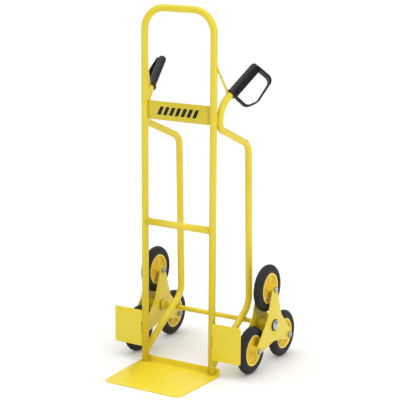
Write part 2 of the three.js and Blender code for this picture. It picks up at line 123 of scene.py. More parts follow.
def from_bmesh(bm):
    bm.verts.index_update()
    vertices = [v.co.copy() for v in bm.verts]
    faces = [tuple(v.index for v in face.verts) for face in bm.faces]
    bm.free()
    return vertices, faces


def merged(mesh):
    """The same mesh with the points that lie on each other made one."""
    bm = to_bmesh(mesh)
    bmesh.ops.remove_doubles(bm, verts=bm.verts, dist=SAME_POINT)
    bmesh.ops.recalc_face_normals(bm, faces=bm.faces)
    return from_bmesh(bm)


def evaluated(obj):
    """The mesh of an object after its modifiers, and the object is then deleted."""
    bpy.context.view_layer.update()
    final = obj.evaluated_get(bpy.context.evaluated_depsgraph_get())
    data = final.to_mesh()
    vertices = [v.co.copy() for v in data.vertices]
    faces = [tuple(face.vertices) for face in data.polygons]
    final.to_mesh_clear()
    bpy.data.objects.remove(obj)
    return vertices, faces


def linked(name, data):
    """A new object in the scene."""
    obj = bpy.data.objects.new(name, data)
    bpy.context.scene.collection.objects.link(obj)
    return obj


def linked_mesh(name, mesh):
    data = bpy.data.meshes.new(name)
    data.from_pydata(mesh[0], [], mesh[1])
    return linked(name, data)


def boolean(first, second, operation):
    """Two closed meshes joined, cut or intersected: UNION, DIFFERENCE or INTERSECT."""
    base, tool = linked_mesh("base", first), linked_mesh("tool", second)
    modifier = base.modifiers.new("boolean", "BOOLEAN")
    modifier.operation = operation
    modifier.solver = "EXACT"
    modifier.object = tool
    result = evaluated(base)
    bpy.data.objects.remove(tool)
    return result


def plate(outlines, thickness, edge=0.5 * MM):
    """A flat plate with rounded edges, from Z = 0 up: its outline in X-Y, and then its holes."""
    curve = bpy.data.curves.new("plate", "CURVE")
    curve.dimensions = "2D"
    curve.fill_mode = "BOTH"
    curve.extrude = thickness / 2 - edge
    curve.bevel_depth = edge
    curve.bevel_resolution = 2
    curve.offset = -edge
    for outline in outlines:
        spline = curve.splines.new("POLY")
        spline.points.add(len(outline) - 1)
        for point, (x, y) in zip(spline.points, outline):
            point.co = (x, y, 0, 1)
        spline.use_cyclic_u = True
    vertices, faces = evaluated(linked("plate", curve))
    return merged(([v + Vector((0, 0, thickness / 2)) for v in vertices], faces))


def add_piece(name, mesh, material, body, node=None, sharp_angle=SHARP_ANGLE, fits=True):
    """Makes an object that rides on a CAD body and may stand for a CAD node."""
    bm = to_bmesh(merged(mesh))
    limit = radians(sharp_angle)
    for face in bm.faces:
        face.smooth = True
    for edge in bm.edges:
        edge.smooth = len(edge.link_faces) != 2 or edge.calc_face_angle(0) < limit
    data = bpy.data.meshes.new(name)
    bm.to_mesh(data)
    bm.free()
    data.materials.append(material)
    obj = linked(name, data)
    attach(obj, body)
    if node and fits:
        check_fit(obj, node)
    if node:
        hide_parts(node)
    return obj


def check_fit(obj, node):
    """Stops the script if a stand-in isn't the size of its CAD node."""
    low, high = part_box(node)
    corners = [obj.matrix_world @ vertex.co for vertex in obj.data.vertices]
    for axis in range(3):
        places = [corner[axis] for corner in corners]
        misfit = max(abs(min(places) - low[axis]), abs(max(places) - high[axis]))
        if misfit > FIT:
            raise ValueError(f"{obj.name} is {misfit / MM:.2f} mm off {node} on axis {axis}")


def rounded_outline(corners, arc_step=12):
    """A closed outline in 2-D. Each corner is (x, y, radius), and a radius of 0 keeps it sharp."""
    points = []
    for i, (x, y, radius) in enumerate(corners):
        corner = Vector((x, y))
        if radius == 0:
            points.append(corner)
            continue
        before = (Vector(corners[i - 1][:2]) - corner).normalized()
        after = (Vector(corners[(i + 1) % len(corners)][:2]) - corner).normalized()
        half = before.angle(after) / 2
        middle = (before + after).normalized()
        centre = corner + middle * (radius / sin(half))
        spread = pi / 2 - half
        turn = 1 if after.cross(before) > 0 else -1
        steps = max(2, ceil(degrees(2 * spread) / arc_step))
        for k in range(steps + 1):
            angle = turn * spread * (2 * k / steps - 1)
            points.append(centre - Matrix.Rotation(angle, 2) @ (radius * middle))
    return points


def axes(x, y, z, origin=(0, 0, 0)):
    """The matrix that takes X, Y and Z to the given directions, from the given origin."""
    matrix = Matrix((x, y, z)).transposed().to_4x4()
    matrix.translation = Vector(origin)
    return matrix


ACROSS_X = ((0, 1, 0), (0, 0, 1), (1, 0, 0))  # an outline in Y-Z, extruded along +X
ACROSS_Y = ((1, 0, 0), (0, 0, 1), (0, -1, 0))  # an outline in X-Z, extruded along -Y


def lofted(rings, closed=False):
    """A mesh through rings of equally many points, closed by its end faces or onto itself."""
    count, total = len(rings[0]), len(rings[0]) * len(rings)
    faces = []
    for start in range(0, total if closed else total - count, count):
        for i in range(count):
            here, beside = start + i, start + (i + 1) % count
            faces.append((here, beside, (beside + count) % total, (here + count) % total))
    if not closed:
        faces += [tuple(range(count))[::-1], tuple(range(total - count, total))]
    return [point for ring in rings for point in ring], faces


def turned(profile, segments=64):
    """A solid of revolution about X. The profile is a closed list of (along X, radius)."""
    rings = []
    for k in range(segments):
        u, v = cos(2 * pi * k / segments), sin(2 * pi * k / segments)
        rings.append([Vector((along, radius * u, radius * v)) for along, radius in profile])
    return merged(lofted(rings, closed=True))


def ring_profile(low, high, inner, outer, edge=0.4 * MM):
    """The section of a plain ring, with its outer edges rounded."""
    corners = [(low, inner, 0), (low, outer, edge), (high, outer, edge), (high, inner, 0)]
    return rounded_outline(corners, arc_step=30)


def quarter_turn(steps):
    """Angles from 0 to a right angle."""
    return [pi / 2 * k / steps for k in range(steps + 1)]


def round_section(radius, count=32):
    return [(radius * cos(2 * pi * i / count), radius * sin(2 * pi * i / count))
            for i in range(count)]


def bent_path(bends, arc_step=5):
    """Stations (place, heading) along straight runs joined by round bends: (bend point, radius)."""
    stations = []
    places = [Vector(point) for point, _ in bends]
    for i, (corner, (_, radius)) in enumerate(zip(places, bends)):
        incoming = (corner - places[i - 1]).normalized() if i else None
        outgoing = (places[i + 1] - corner).normalized() if i < len(places) - 1 else None
        if incoming is None or outgoing is None or radius == 0:
            stations.append((corner, incoming or outgoing))
            continue
        turn = incoming.angle(outgoing)
        start = corner - incoming * radius * tan(turn / 2)
        inward = (outgoing - incoming * incoming.dot(outgoing)).normalized()
        centre = start + inward * radius
        steps = ceil(degrees(turn) / arc_step)
        for k in range(steps + 1):
            angle = turn * k / steps
            place = centre - inward * radius * cos(angle) + incoming * radius * sin(angle)
            stations.append((place, incoming * cos(angle) + inward * sin(angle)))
    return stations


def sweep(stations, section, scales=None, closed=False):
    """A section carried along stations without twisting."""
    heading = stations[0][1]
    normal = heading.orthogonal().normalized()
    rings = []
    for k, (place, here) in enumerate(stations):
        normal = heading.rotation_difference(here) @ normal
        normal = (normal - here * normal.dot(here)).normalized()
        heading, side = here, here.cross(normal)
        scale = scales[k] if scales else 1
        rings.append([place + (normal * u + side * v) * scale for u, v in section])
    return lofted(rings, closed)


# ---- weld beads

BEAD_RADIUS = 2.1 * MM
BEAD_PITCH = 2.6 * MM
BEAD_STEP = 0.65 * MM
BEAD_RIPPLE = 0.16
BEAD_END, BEAD_END_GROWTH = 0.35, 0.3  # a bead's size at its end, and what each step adds
BEAD_SIDES = 10
FEWEST_STEPS = 8


def resampled(points, step, closed):
    """Evenly spaced points along a polyline."""
    loop = list(points) + ([points[0]] if closed else [])
    lengths = [0]
    for a, b in zip(loop, loop[1:]):
        lengths.append(lengths[-1] + (b - a).length)
    count = max(FEWEST_STEPS, round(lengths[-1] / step))
    found, k = [], 0
    for i in range(count if closed else count + 1):
        target = lengths[-1] * i / count
        while k < len(loop) - 2 and lengths[k + 1] < target:
            k += 1
        share = (target - lengths[k]) / max(lengths[k + 1] - lengths[k], SAME_POINT)
        found.append(loop[k].lerp(loop[k + 1], share))
    return found, lengths[-1] / count


def weld_bead(points, closed=False, radius=BEAD_RADIUS):
    """A rippled bead of weld metal along a line of points."""
    line, step = resampled(points, BEAD_STEP, closed)
    stations, scales = [], []
    for i, place in enumerate(line):
        before = line[i - 1] if i or closed else place
        after = line[(i + 1) % len(line)] if i < len(line) - 1 or closed else place
        stations.append((place, (after - before).normalized()))
        phase = i * step / BEAD_PITCH % 1
        ripple = 1 - BEAD_RIPPLE * phase * phase
        from_end = min(i, len(line) - 1 - i)
        ends = 1 if closed else min(1, BEAD_END + BEAD_END_GROWTH * from_end)
        scales.append(ripple * ends)
    return sweep(stations, round_section(radius, BEAD_SIDES), scales, closed)


def saddle(point, direction, radius, axis_point, axis):
    """Where a tube meets the surface of a frame tube, as a closed line of points."""
    direction, axis = direction.normalized(), axis.normalized()
    u = direction.orthogonal().normalized()
    v = direction.cross(u)
    along = direction - axis * direction.dot(axis)
    line = []
    for x, y in round_section(radius, count=72):
        start = point + u * x + v * y
        away = (start - axis_point) - axis * (start - axis_point).dot(axis)
        a, b, c = along.dot(along), 2 * away.dot(along), away.dot(away) - TUBE_RADIUS ** 2
        root = max(0, b * b - 4 * a * c)
        line.append(start + direction * max(0, (sqrt(root) - b) / (2 * a)))
    return line


# ---- materials

MIX_INPUTS, MIX_RESULT = (0, 6, 7), 2  # a colour mix node's sockets


def put(tree, socket, value):
    """Links a socket to another node's output, or gives it a plain value."""
    if isinstance(value, bpy.types.NodeSocket):
        tree.links.new(value, socket)
    else:
        socket.default_value = value


def new_node(tree, kind, inputs, output):
    """One output of a new node, whose inputs are linked or given values."""
    node = tree.nodes.new(kind)
    for name, value in inputs.items():
        put(tree, node.inputs[name], value)
    return node.outputs[output]


class Finish:
    """A material in the making. Its noise runs in the frame's own metres."""

    def __init__(self, name):
        self.material = bpy.data.materials.new(name)
        self.material.use_nodes = True
        self.tree = self.material.node_tree

    def place(self):
        return new_node(self.tree, "ShaderNodeTexCoord", {}, "Object")

    def noise(self, scale, detail=3, roughness=0.5, stretch=None):
        place = self.place()
        if stretch:
            place = new_node(self.tree, "ShaderNodeMapping", {"Scale": stretch, "Vector": place}, "Vector")
        inputs = {"Scale": scale, "Detail": detail, "Roughness": roughness, "Vector": place}
        return new_node(self.tree, "ShaderNodeTexNoise", inputs, "Fac")

    def ramp(self, source, *stops):
        """A ramp over a value. Each stop is (position, colour), and a number is a grey."""
        node = self.tree.nodes.new("ShaderNodeValToRGB")
        elements = node.color_ramp.elements
        while len(elements) < len(stops):
            elements.new(0.5)
        for element, (position, colour) in zip(elements, stops):
            element.position = position
            element.color = (*colour, 1) if isinstance(colour, tuple) else (colour, colour, colour, 1)
        put(self.tree, node.inputs["Fac"], source)
        return node.outputs["Color"]

    def gloss(self, scale, detail, shiny, dull):
        """Roughness that drifts between two values."""
        return self.ramp(self.noise(scale, detail), (0.3, shiny), (0.7, dull))

    def bump(self, height, strength, distance, before=None):
        inputs = {"Strength": strength, "Distance": distance, "Height": height}
        if before:
            inputs["Normal"] = before
        return new_node(self.tree, "ShaderNodeBump", inputs, "Normal")

    def mix(self, share, first, second):
        """A socket's colour mixed with a plain one."""
        node = self.tree.nodes.new("ShaderNodeMix")
        node.data_type = "RGBA"
        for i, value in zip(MIX_INPUTS, (share, first, (*second, 1))):
            put(self.tree, node.inputs[i], value)
        return node.outputs[MIX_RESULT]

    def done(self, colour, gloss, normal=None, **levels):
        """The material, once its shader's sockets are set. A level's name has _ for a space."""
        inputs = self.tree.nodes["Principled BSDF"].inputs
        put(self.tree, inputs["Base Color"], colour)
        put(self.tree, inputs["Roughness"], gloss)
        if normal:
            put(self.tree, inputs["Normal"], normal)
        for name, value in levels.items():
            put(self.tree, inputs[name.replace("_", " ")], value)
        return self.material


def powder_coat(name, shade, scuffed=False):
    """Yellow powder coat: a faint orange-peel surface, slight cloudiness, and scuffs if asked for. Its
    colour is scaled by a factor that paints light on a part above 1 and painted shade below 1.
    """
    coat = Finish(name)
    # The factor paints the part's light and shade into both colours.
    thin, thick = (tuple(shade * c for c in colour)
                   for colour in ((0.735, 0.580, 0.024), (0.780, 0.622, 0.030)))
    colour = coat.ramp(coat.noise(9, 4), (0.3, thin), (0.7, thick))
    gloss = coat.gloss(60, 3, 0.30, 0.40)
    normal = coat.bump(coat.noise(520, 2), 0.10, 0.0006)
    if scuffed:
        scratches = coat.noise(70, 6, 0.65, stretch=(1, 0.06, 1))
        marks = coat.ramp(scratches, (0.60, 0), (0.68, 1))
        colour = coat.mix(marks, colour, (0.80, 0.66, 0.13))
        gloss = coat.mix(marks, gloss, (0.52, 0.52, 0.52))
        normal = coat.bump(scratches, 0.05, 0.0004, normal)
    return coat.done(colour, gloss, normal, Specular_IOR_Level=0.35, Coat_Weight=0.22, Coat_Roughness=0.12)


def weld_paint():
    """The same powder coat over weld metal, with finer clouds and a rougher skin."""
    weld = Finish("weld_paint")
    colour = weld.ramp(weld.noise(240, 4), (0.35, (0.66, 0.50, 0.024)), (0.65, (0.75, 0.61, 0.032)))
    return weld.done(colour, 0.36, weld.bump(weld.noise(900, 3), 0.25, 0.0006))


def tyre_rubber():
    """Charcoal solid rubber with moulding bloom and fine grain."""
    rubber = Finish("tyre_rubber")
    bloom = rubber.noise(26, 6, 0.6)
    colour = rubber.ramp(bloom, (0.30, 0.009), (0.55, 0.014), (0.75, 0.022))
    normal = rubber.bump(rubber.noise(1400, 4, 0.6), 0.22, 0.0005)
    return rubber.done(colour, rubber.gloss(90, 4, 0.50, 0.66), normal, Specular_IOR_Level=0.28)


def hub_plastic(name, thin, thick):
    """Moulded yellow-orange polypropylene with slight flow marks, between two colours."""
    plastic = Finish(name)
    colour = plastic.ramp(plastic.noise(34, 3), (0.3, thin), (0.7, thick))
    normal = plastic.bump(plastic.noise(700, 3), 0.10, 0.0005)
    return plastic.done(colour, plastic.gloss(120, 3, 0.34, 0.44), normal,
                        Subsurface_Weight=0.05, Subsurface_Radius=(0.004, 0.002, 0.0005))


def grip_plastic():
    """Black moulded grip plastic with a leathery grain."""
    plastic = Finish("grip_plastic")
    inputs = {"Scale": 620, "Vector": plastic.place()}
    grain = new_node(plastic.tree, "ShaderNodeTexVoronoi", inputs, "Distance")
    colour = plastic.ramp(plastic.noise(60, 4), (0.3, 0.004), (0.7, 0.008))
    return plastic.done(colour, plastic.gloss(150, 3, 0.20, 0.30), plastic.bump(grain, 0.14, 0.0004),
                        Specular_IOR_Level=0.28)


def black_plastic():
    """Matt black plastic, for the washers under the caps."""
    plastic = Finish("black_plastic")
    colour = plastic.ramp(plastic.noise(80, 4), (0.3, 0.012), (0.7, 0.022))
    return plastic.done(colour, 0.42, plastic.bump(plastic.noise(900, 3), 0.12, 0.0004))


def zinc_plate():
    """Bright zinc on hardened steel, with cloudy passivation."""
    zinc = Finish("zinc_plate")
    colour = zinc.ramp(zinc.noise(160, 5), (0.3, (0.30, 0.30, 0.29)), (0.55, (0.46, 0.47, 0.46)),
                       (0.75, (0.58, 0.57, 0.54)))
    normal = zinc.bump(zinc.noise(1500, 3), 0.12, 0.0003)
    return zinc.done(colour, zinc.gloss(420, 4, 0.24, 0.42), normal, Metallic=1)


def chrome():
    """Polished chrome with darker clouds in its colour: painted dark reflections."""
    metal = Finish("chrome")
    # The dark end of this ramp paints dark reflections into the chrome's colour.
    colour = metal.ramp(metal.noise(40, 2), (0.35, 0.20), (0.65, 0.62))
    normal = metal.bump(metal.noise(800, 2), 0.03, 0.0002)
    return metal.done(colour, metal.gloss(300, 4, 0.07, 0.14), normal, Metallic=1)


def print_ink():
    """Black screen-printed ink, slightly thin in places."""
    ink = Finish("print_ink")
    colour = ink.ramp(ink.noise(500, 5), (0.45, 0.010), (0.80, (0.035, 0.030, 0.012)))
    return ink.done(colour, 0.38, ink.bump(ink.noise(700, 2), 0.08, 0.0003), Specular_IOR_Level=0.2)


def collar_shadow_colour():
    """Dark red-brown colour for the thin ring between a collar and its star, which paints the shade at the
    collar's edge.
    """
    ring = Finish("collar_shadow_colour")
    colour = ring.ramp(ring.noise(300, 5), (0.3, (0.150, 0.050, 0.022)), (0.7, (0.230, 0.085, 0.036)))
    return ring.done(colour, 0.6, ring.bump(ring.noise(900, 3), 0.15, 0.0004))


# Lit and shaded copies of one powder coat: each factor paints the light and shade that its part gets, with
# painted shade darkest on the name panel and painted light on the toe plate.
PAINT = powder_coat("powder_coat", 0.98)
STAR_PAINT = powder_coat("star_powder_coat", 0.95)
GUARD_PAINT = powder_coat("guard_powder_coat", 0.99)
PANEL_PAINT = powder_coat("panel_powder_coat", 0.85)
PLATE_PAINT = powder_coat("plate_powder_coat", 1.07, scuffed=True)
WELD_PAINT = weld_paint()
RUBBER = tyre_rubber()
HUB_PLASTIC = hub_plastic("hub_plastic", (0.750, 0.515, 0.026), (0.800, 0.580, 0.036))
# A lighter copy of the hub plastic for the lip's outer band: painted light, where the lip catches more
# light than the recessed web.
HUB_LIP_PAINTED_LIGHT = hub_plastic("hub_lip_painted_light", (0.900, 0.740, 0.120), (0.930, 0.780, 0.160))
GRIP_PLASTIC = grip_plastic()
BLACK_PLASTIC = black_plastic()
ZINC = zinc_plate()
CHROME = chrome()
INK = print_ink()
# The dark red-brown ring at each collar's edge: painted shade.
COLLAR_SHADOW = collar_shadow_colour()

# The slot of each piece's material, by the material's name.
SLOTS = {coat.name: "yellow_paint"
         for coat in (PAINT, STAR_PAINT, GUARD_PAINT, PANEL_PAINT, PLATE_PAINT, WELD_PAINT)}
SLOTS.update({
    RUBBER.name: "tyre_rubber", HUB_PLASTIC.name: "hub_plastic", GRIP_PLASTIC.name: "grip_plastic",
    BLACK_PLASTIC.name: "black_plastic", INK.name: "black_plastic", COLLAR_SHADOW.name: "black_plastic",
    ZINC.name: "zinc", CHROME.name: "chrome"})


# ---- tube frame

def tube(name, bends, node):
    mesh = sweep(bent_path(bends), round_section(TUBE_RADIUS, count=40))
    add_piece(name, mesh, PAINT, "frame", node)


def hoop_bends():
    low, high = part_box("hoop_frame")
    foot, top = low.z - GAP, high.z - TUBE_RADIUS
    return [((-UPRIGHT_X, 0, foot), 0), ((-UPRIGHT_X, 0, top), HOOP_BEND),
            ((UPRIGHT_X, 0, top), HOOP_BEND), ((UPRIGHT_X, 0, foot), 0)]


def on_grip_axis(side, distance):
    return mirrored(GRIP_BASE + GRIP_AXIS * distance, side)


def side_tube_bends(side):
    bends = [(mirrored(Vector(point) * MM, side), radius * MM) for point, radius in SIDE_TUBE]
    bends.append((on_grip_axis(side, LAST_BEND), LAST_BEND_RADIUS * MM))
    bends.append((on_grip_axis(side, TUBE_IN_GRIP), 0))
    return bends


def build_tubes():
    tube("hoop_tube", hoop_bends(), "hoop_frame")
    low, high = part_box("cross_tube")
    height = (low.z + high.z) / 2
    reach = UPRIGHT_X - CROSS_TUBE_INSET
    tube("cross_tube_skin", [((-reach, 0, height), 0), ((reach, 0, height), 0)], "cross_tube")
    for word, side in SIDES.items():
        tube(f"{word}_side_tube_skin", side_tube_bends(side), f"{word}_side_tube")
        rod = [(mirrored(BRACE_TOP, side), 0), (on_grip_axis(side, BRACE_TO_GRIP), 0)]
        mesh = sweep(bent_path(rod), round_section(BRACE_RADIUS, count=20))
        add_piece(f"{word}_brace_rod_skin", mesh, PAINT, "frame", f"{word}_brace_rod", fits=False)


build_tubes()


# ---- sheet metal

TOE_THICKNESS = 4 * MM
TOE_BACK_HALF_WIDTH = 146 * MM
TOE_FRONT_HALF_WIDTH = 138 * MM
TOE_CORNER = 24 * MM
FLANGE_THICKNESS = 3 * MM
FLANGE_CORNER = 5 * MM
FLANGE_BEND = 2 * MM
SHEET_EDGE = 0.9 * MM
SHEET_END_TAPER = 1.1  # how many edge radii the sheet's ends are thinner by


def toe_stations():
    """Places along the bent sheet, front to back and up: (inner point, outer point, half width)."""
    low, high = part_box("toe_plate")
    stations = []
    taper = (TOE_BACK_HALF_WIDTH - TOE_FRONT_HALF_WIDTH) / -low.y
    for angle in quarter_turn(12):
        y = low.y + TOE_CORNER * (1 - cos(angle))
        width = TOE_FRONT_HALF_WIDTH + taper * (y - low.y) - TOE_CORNER * (1 - sin(angle))
        stations.append(((y, TOE_THICKNESS), (y, 0), width))
    stations.append(((0, TOE_THICKNESS), (0, 0), TOE_BACK_HALF_WIDTH))
    centre_y = high.y - FLANGE_THICKNESS - FLANGE_BEND
    centre_z = TOE_THICKNESS + FLANGE_BEND
    for angle in quarter_turn(8):
        sine, cosine = sin(angle), cos(angle)
        inner = (centre_y + FLANGE_BEND * sine, centre_z - FLANGE_BEND * cosine)
        outer = (centre_y + (FLANGE_BEND + FLANGE_THICKNESS) * sine, centre_z * (1 - cosine))
        stations.append((inner, outer, TOE_BACK_HALF_WIDTH))
    for angle in quarter_turn(6):
        z = high.z - FLANGE_CORNER * (1 - sin(angle))
        width = TOE_BACK_HALF_WIDTH - FLANGE_CORNER * (1 - cos(angle))
        stations.append(((high.y - FLANGE_THICKNESS, z), (high.y, z), width))
    return stations


def toe_plate_mesh():
    """The sheet as a loft of thin rounded rectangles, a little thinner at its front and top ends."""
    stations = toe_stations()
    rings = []
    for k, (inner, outer, half) in enumerate(stations):
        inner, outer = Vector((0, *inner)), Vector((0, *outer))
        thickness = (inner - outer).length
        corners = ((-half, 0), (half, 0), (half, thickness), (-half, thickness))
        section = rounded_outline([(*corner, SHEET_EDGE) for corner in corners], arc_step=30)
        at_end = k in (0, len(stations) - 1)
        shrink = 1 - SHEET_END_TAPER * SHEET_EDGE / thickness if at_end else 1
        rings.append([outer.lerp(inner, 0.5 + (t / thickness - 0.5) * shrink) + Vector((x, 0, 0))
                      for x, t in section])
    return lofted(rings)


GUARD_CORNER = 6 * MM
GUARD_SEAM = (98 * MM, 137 * MM)  # the stretch of a guard's inner edge that stays open
GUARD_SEAM_WIDTH = 2.2 * MM


def guard_mesh(side):
    """A plate in front of a lower wheel: round outer corners, and an open seam between its welds."""
    low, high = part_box("right_guard_plate")
    inner, outer, seam = side * low.x, side * high.x, side * (low.x + GUARD_SEAM_WIDTH)
    bottom, top = GUARD_SEAM
    outline = rounded_outline([
        (inner, low.z, 0), (outer, low.z, GUARD_CORNER), (outer, high.z, GUARD_CORNER),
        (inner, high.z, 0), (inner, top, 0), (seam, top, 0), (seam, bottom, 0), (inner, bottom, 0)])
    return moved(plate([outline], high.y - low.y), axes(*ACROSS_Y, (0, high.y, 0)))


PANEL_THICKNESS = 2.5 * MM
PANEL_TAB = 7 * MM
PANEL_SET_BACK = 3 * MM
PANEL_REACH = 113 * MM
PANEL_BEND = 3 * MM
PANEL_BACK_SHIFT = 1 * MM  # by which a bend's back is nearer to the middle than its front


def panel_mesh():
    """The name panel, with its ends pressed back where they meet the uprights."""
    low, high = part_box("name_panel")
    step = PANEL_REACH - PANEL_TAB
    front, back = low.y, low.y + PANEL_THICKNESS
    half = [(PANEL_REACH, front + PANEL_SET_BACK, 0), (step, front + PANEL_SET_BACK, PANEL_BEND),
            (step - PANEL_SET_BACK, front, PANEL_BEND)]
    step -= PANEL_BACK_SHIFT
    half_back = [(step - PANEL_SET_BACK, back, PANEL_BEND), (step, back + PANEL_SET_BACK, PANEL_BEND),
                 (PANEL_REACH, back + PANEL_SET_BACK, 0)]
    corners = [(-x, y, r) for x, y, r in half] + half[::-1]
    corners += half_back[::-1] + [(-x, y, r) for x, y, r in half_back]
    return moved(plate([rounded_outline(corners)], high.z - low.z), Matrix.Translation((0, 0, low.z)))


STRIPES = 7
STRIPE_WIDTH = 13 * MM
STRIPE_GAP = 8 * MM
STRIPE_HEIGHT = 26 * MM
STRIPE_SLANT = 12 * MM
STRIPE_CORNER = 1 * MM
INK_THICKNESS = 0.12 * MM
INK_EDGE = 0.03 * MM


def stripe_mesh():
    """A plain band of slanted bars printed on the name panel."""
    low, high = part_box("name_panel")
    bottom = (low.z + high.z - STRIPE_HEIGHT) / 2
    pitch = STRIPE_WIDTH + STRIPE_GAP
    start = -(STRIPES * pitch - STRIPE_GAP + STRIPE_SLANT) / 2
    bars = []
    for i in range(STRIPES):
        left = start + i * pitch
        right = left + STRIPE_WIDTH
        corners = ((left, 0), (right, 0), (right + STRIPE_SLANT, STRIPE_HEIGHT),
                   (left + STRIPE_SLANT, STRIPE_HEIGHT))
        outline = rounded_outline([(*corner, STRIPE_CORNER) for corner in corners])
        bars.append(plate([outline], INK_THICKNESS, INK_EDGE))
    return moved(combine(*bars), axes(*ACROSS_Y, (0, low.y, bottom)))


def build_sheet_metal():
    add_piece("toe_plate_sheet", toe_plate_mesh(), PLATE_PAINT, "frame", "toe_plate")
    add_piece("name_panel_sheet", panel_mesh(), PANEL_PAINT, "frame", "name_panel")
    add_piece("panel_stripes", stripe_mesh(), INK, "frame")
    for word, side in SIDES.items():
        add_piece(f"{word}_guard_sheet", guard_mesh(side), GUARD_PAINT, "frame", f"{word}_guard_plate")


build_sheet_metal()


# ---- grips

LOOP_ROLL = 47.5  # degrees by which the hand guard hangs below level
GRIP_BORE = 11.5 * MM
GRIP_FLAT = 20 * MM  # from the grip's axis to the raised flat under the fingers
GRIP_FLAT_HALF_WIDTH = 6 * MM
GRIP_VOXEL = 1.1 * MM
GRIP_SMOOTH_PASSES = 4
GRIP_BORE_ENDS = (-10 * MM, TUBE_IN_GRIP + 4 * MM)
SLEEVE_SIDES = 72

# The sleeve: (along the grip, radius, how far its flat is raised, from 0 to 1).
SLEEVE = [
    (-4, 12.4, 0), (-4, 15.3, 0), (-3.4, 16.1, 0), (-1, 16.6, 0), (1.5, 16.4, 0), (3.5, 14.9, 0.3),
    (5.5, 13.4, 0.8), (9, 13.1, 1), (60, 13.1, 1), (120, 13.1, 1), (127, 12.6, 0.95),
    (130.5, 11.4, 0.8), (132.8, 9.6, 0.6), (134, 7, 0.3),
]

# The hand guard in the grip's frame: (along the grip, away from it, bend radius).
LOOP = [(3, 12, 0), (3, 61, 20), (42, 77, 40), (131, 65, 20), (127, 4, 0)]
LOOP_WIDTH = 16.5 * MM
LOOP_THICKNESS = 5.6 * MM
LOOP_FLARE = 9 * MM  # how much wider the guard grows on the side that faces up
FLARE_FROM, FLARE_TO = 0.45, 0.72  # shares of the guard's length between which it widens
LOOP_STEP = 2.5 * MM


def grip_frame(word):
    """X runs along the grip and Y towards its guard, which rolls down from level."""
    side = SIDES[word]
    along = mirrored(GRIP_AXIS, side)
    level = (Vector((side, 0, 0)) - along * (side * along.x)).normalized()
    out = Matrix.Rotation(radians(side * LOOP_ROLL), 3, along) @ level
    return axes(along, out, along.cross(out), mirrored(GRIP_BASE, side))


def sleeve_reach(angle, radius, raised):
    """From the axis to the sleeve's surface: round, with a flat raised on the fingers' side."""
    flat = radius + raised * (GRIP_FLAT - radius)
    half = raised * GRIP_FLAT_HALF_WIDTH
    flat_end = atan2(half, flat)
    round_from = flat_end + acos(min(1, radius / hypot(flat, half)))
    if angle < flat_end:
        return flat / cos(angle)
    if angle < round_from:
        return radius / cos(round_from - angle)
    return radius


def sleeve_mesh():
    rings = []
    for along, radius, raised in SLEEVE:
        ring = []
        for k in range(-SLEEVE_SIDES // 2, SLEEVE_SIDES // 2):
            angle = 2 * pi * k / SLEEVE_SIDES
            reach = sleeve_reach(abs(angle), radius * MM, raised)
            ring.append(Vector((along * MM, reach * cos(angle), reach * sin(angle))))
        rings.append(ring)
    return lofted(rings)


def loop_mesh(side):
    """The strap of the hand guard, which grows wider towards the grip's upper end."""
    bends = [(Vector((along, out, 0)) * MM, radius * MM) for along, out, radius in LOOP]
    line, _ = resampled([place for place, _ in bent_path(bends, arc_step=4)], LOOP_STEP, False)
    last = len(line) - 1
    rings = []
    for i, place in enumerate(line):
        heading = (line[min(i + 1, last)] - line[max(i - 1, 0)]).normalized()
        inward = Vector((0, 0, 1)).cross(heading)
        share = min(1, max(0, (i / last - FLARE_FROM) / (FLARE_TO - FLARE_FROM)))
        flare = LOOP_FLARE * share * share * (3 - 2 * share)
        top, bottom = -side * (LOOP_WIDTH / 2 + flare), side * LOOP_WIDTH / 2
        half, corner = LOOP_THICKNESS / 2, LOOP_THICKNESS / 3
        section = rounded_outline([
            (top, -half, corner), (top, half, corner), (bottom, half, corner), (bottom, -half, corner)])
        rings.append([place + Vector((0, 0, w)) + inward * t for w, t in section])
    return lofted(rings)


def grip_mesh(side):
    """Sleeve and guard fused into one moulding, with soft fillets, and bored for the tube."""
    obj = linked_mesh("grip", combine(merged(sleeve_mesh()), merged(loop_mesh(side))))
    remesh = obj.modifiers.new("remesh", "REMESH")
    remesh.mode = "VOXEL"
    remesh.voxel_size = GRIP_VOXEL
    smooth = obj.modifiers.new("smooth", "SMOOTH")
    smooth.factor = 0.5
    smooth.iterations = GRIP_SMOOTH_PASSES
    start, end = GRIP_BORE_ENDS
    bore = turned([(start, 0), (start, GRIP_BORE), (end, GRIP_BORE), (end, 0)], segments=48)
    return boolean(evaluated(obj), bore, "DIFFERENCE")


def build_grips():
    for word, side in SIDES.items():
        mesh = moved(grip_mesh(side), grip_frame(word))
        add_piece(f"{word}_grip_moulding", mesh, GRIP_PLASTIC, "frame", f"{word}_grip", SOFT_ANGLE)


build_grips()


# ---- axle and its fittings

AXLE_RADIUS = 8 * MM
AXLE_CHAMFER = 1 * MM
STAR_HALF_WIDTH = 28.7 * MM
STAR_PLATE = 3 * MM
COLLAR_LENGTH = 13 * MM
COLLAR_RADIUS = 18 * MM
COLLAR_EDGE = 1.2 * MM
SHADOW_RING = 1.6 * MM  # thickness of the dark ring between a collar and its star, which paints the shade at the collar's edge
SHADOW_RING_GAP = 0.1 * MM
SHADOW_RING_INSET = 0.4 * MM
WASHER_RADIUS = 19.5 * MM
WASHER_THICKNESS = 2.4 * MM
WASHER_EDGE = 0.9 * MM
CAP_RADIUS = 16.5 * MM
CAP_HEIGHT = 8 * MM
CAP_WALL = 2.7 * MM
CAP_RIM = 1.8 * MM  # height of a cap's upright rim
CAP_RIM_EDGE = 0.6 * MM
CAP_STEP_EDGE = 0.5 * MM
CAP_DOME_FROM = 2.6 * MM  # height at which the dome starts, a step in from the rim
CAP_DOME_RADIUS = CAP_RADIUS - 1.4 * MM
HUB_TUBE_RADIUS = 17 * MM
HUB_TUBE_EDGE = 1 * MM


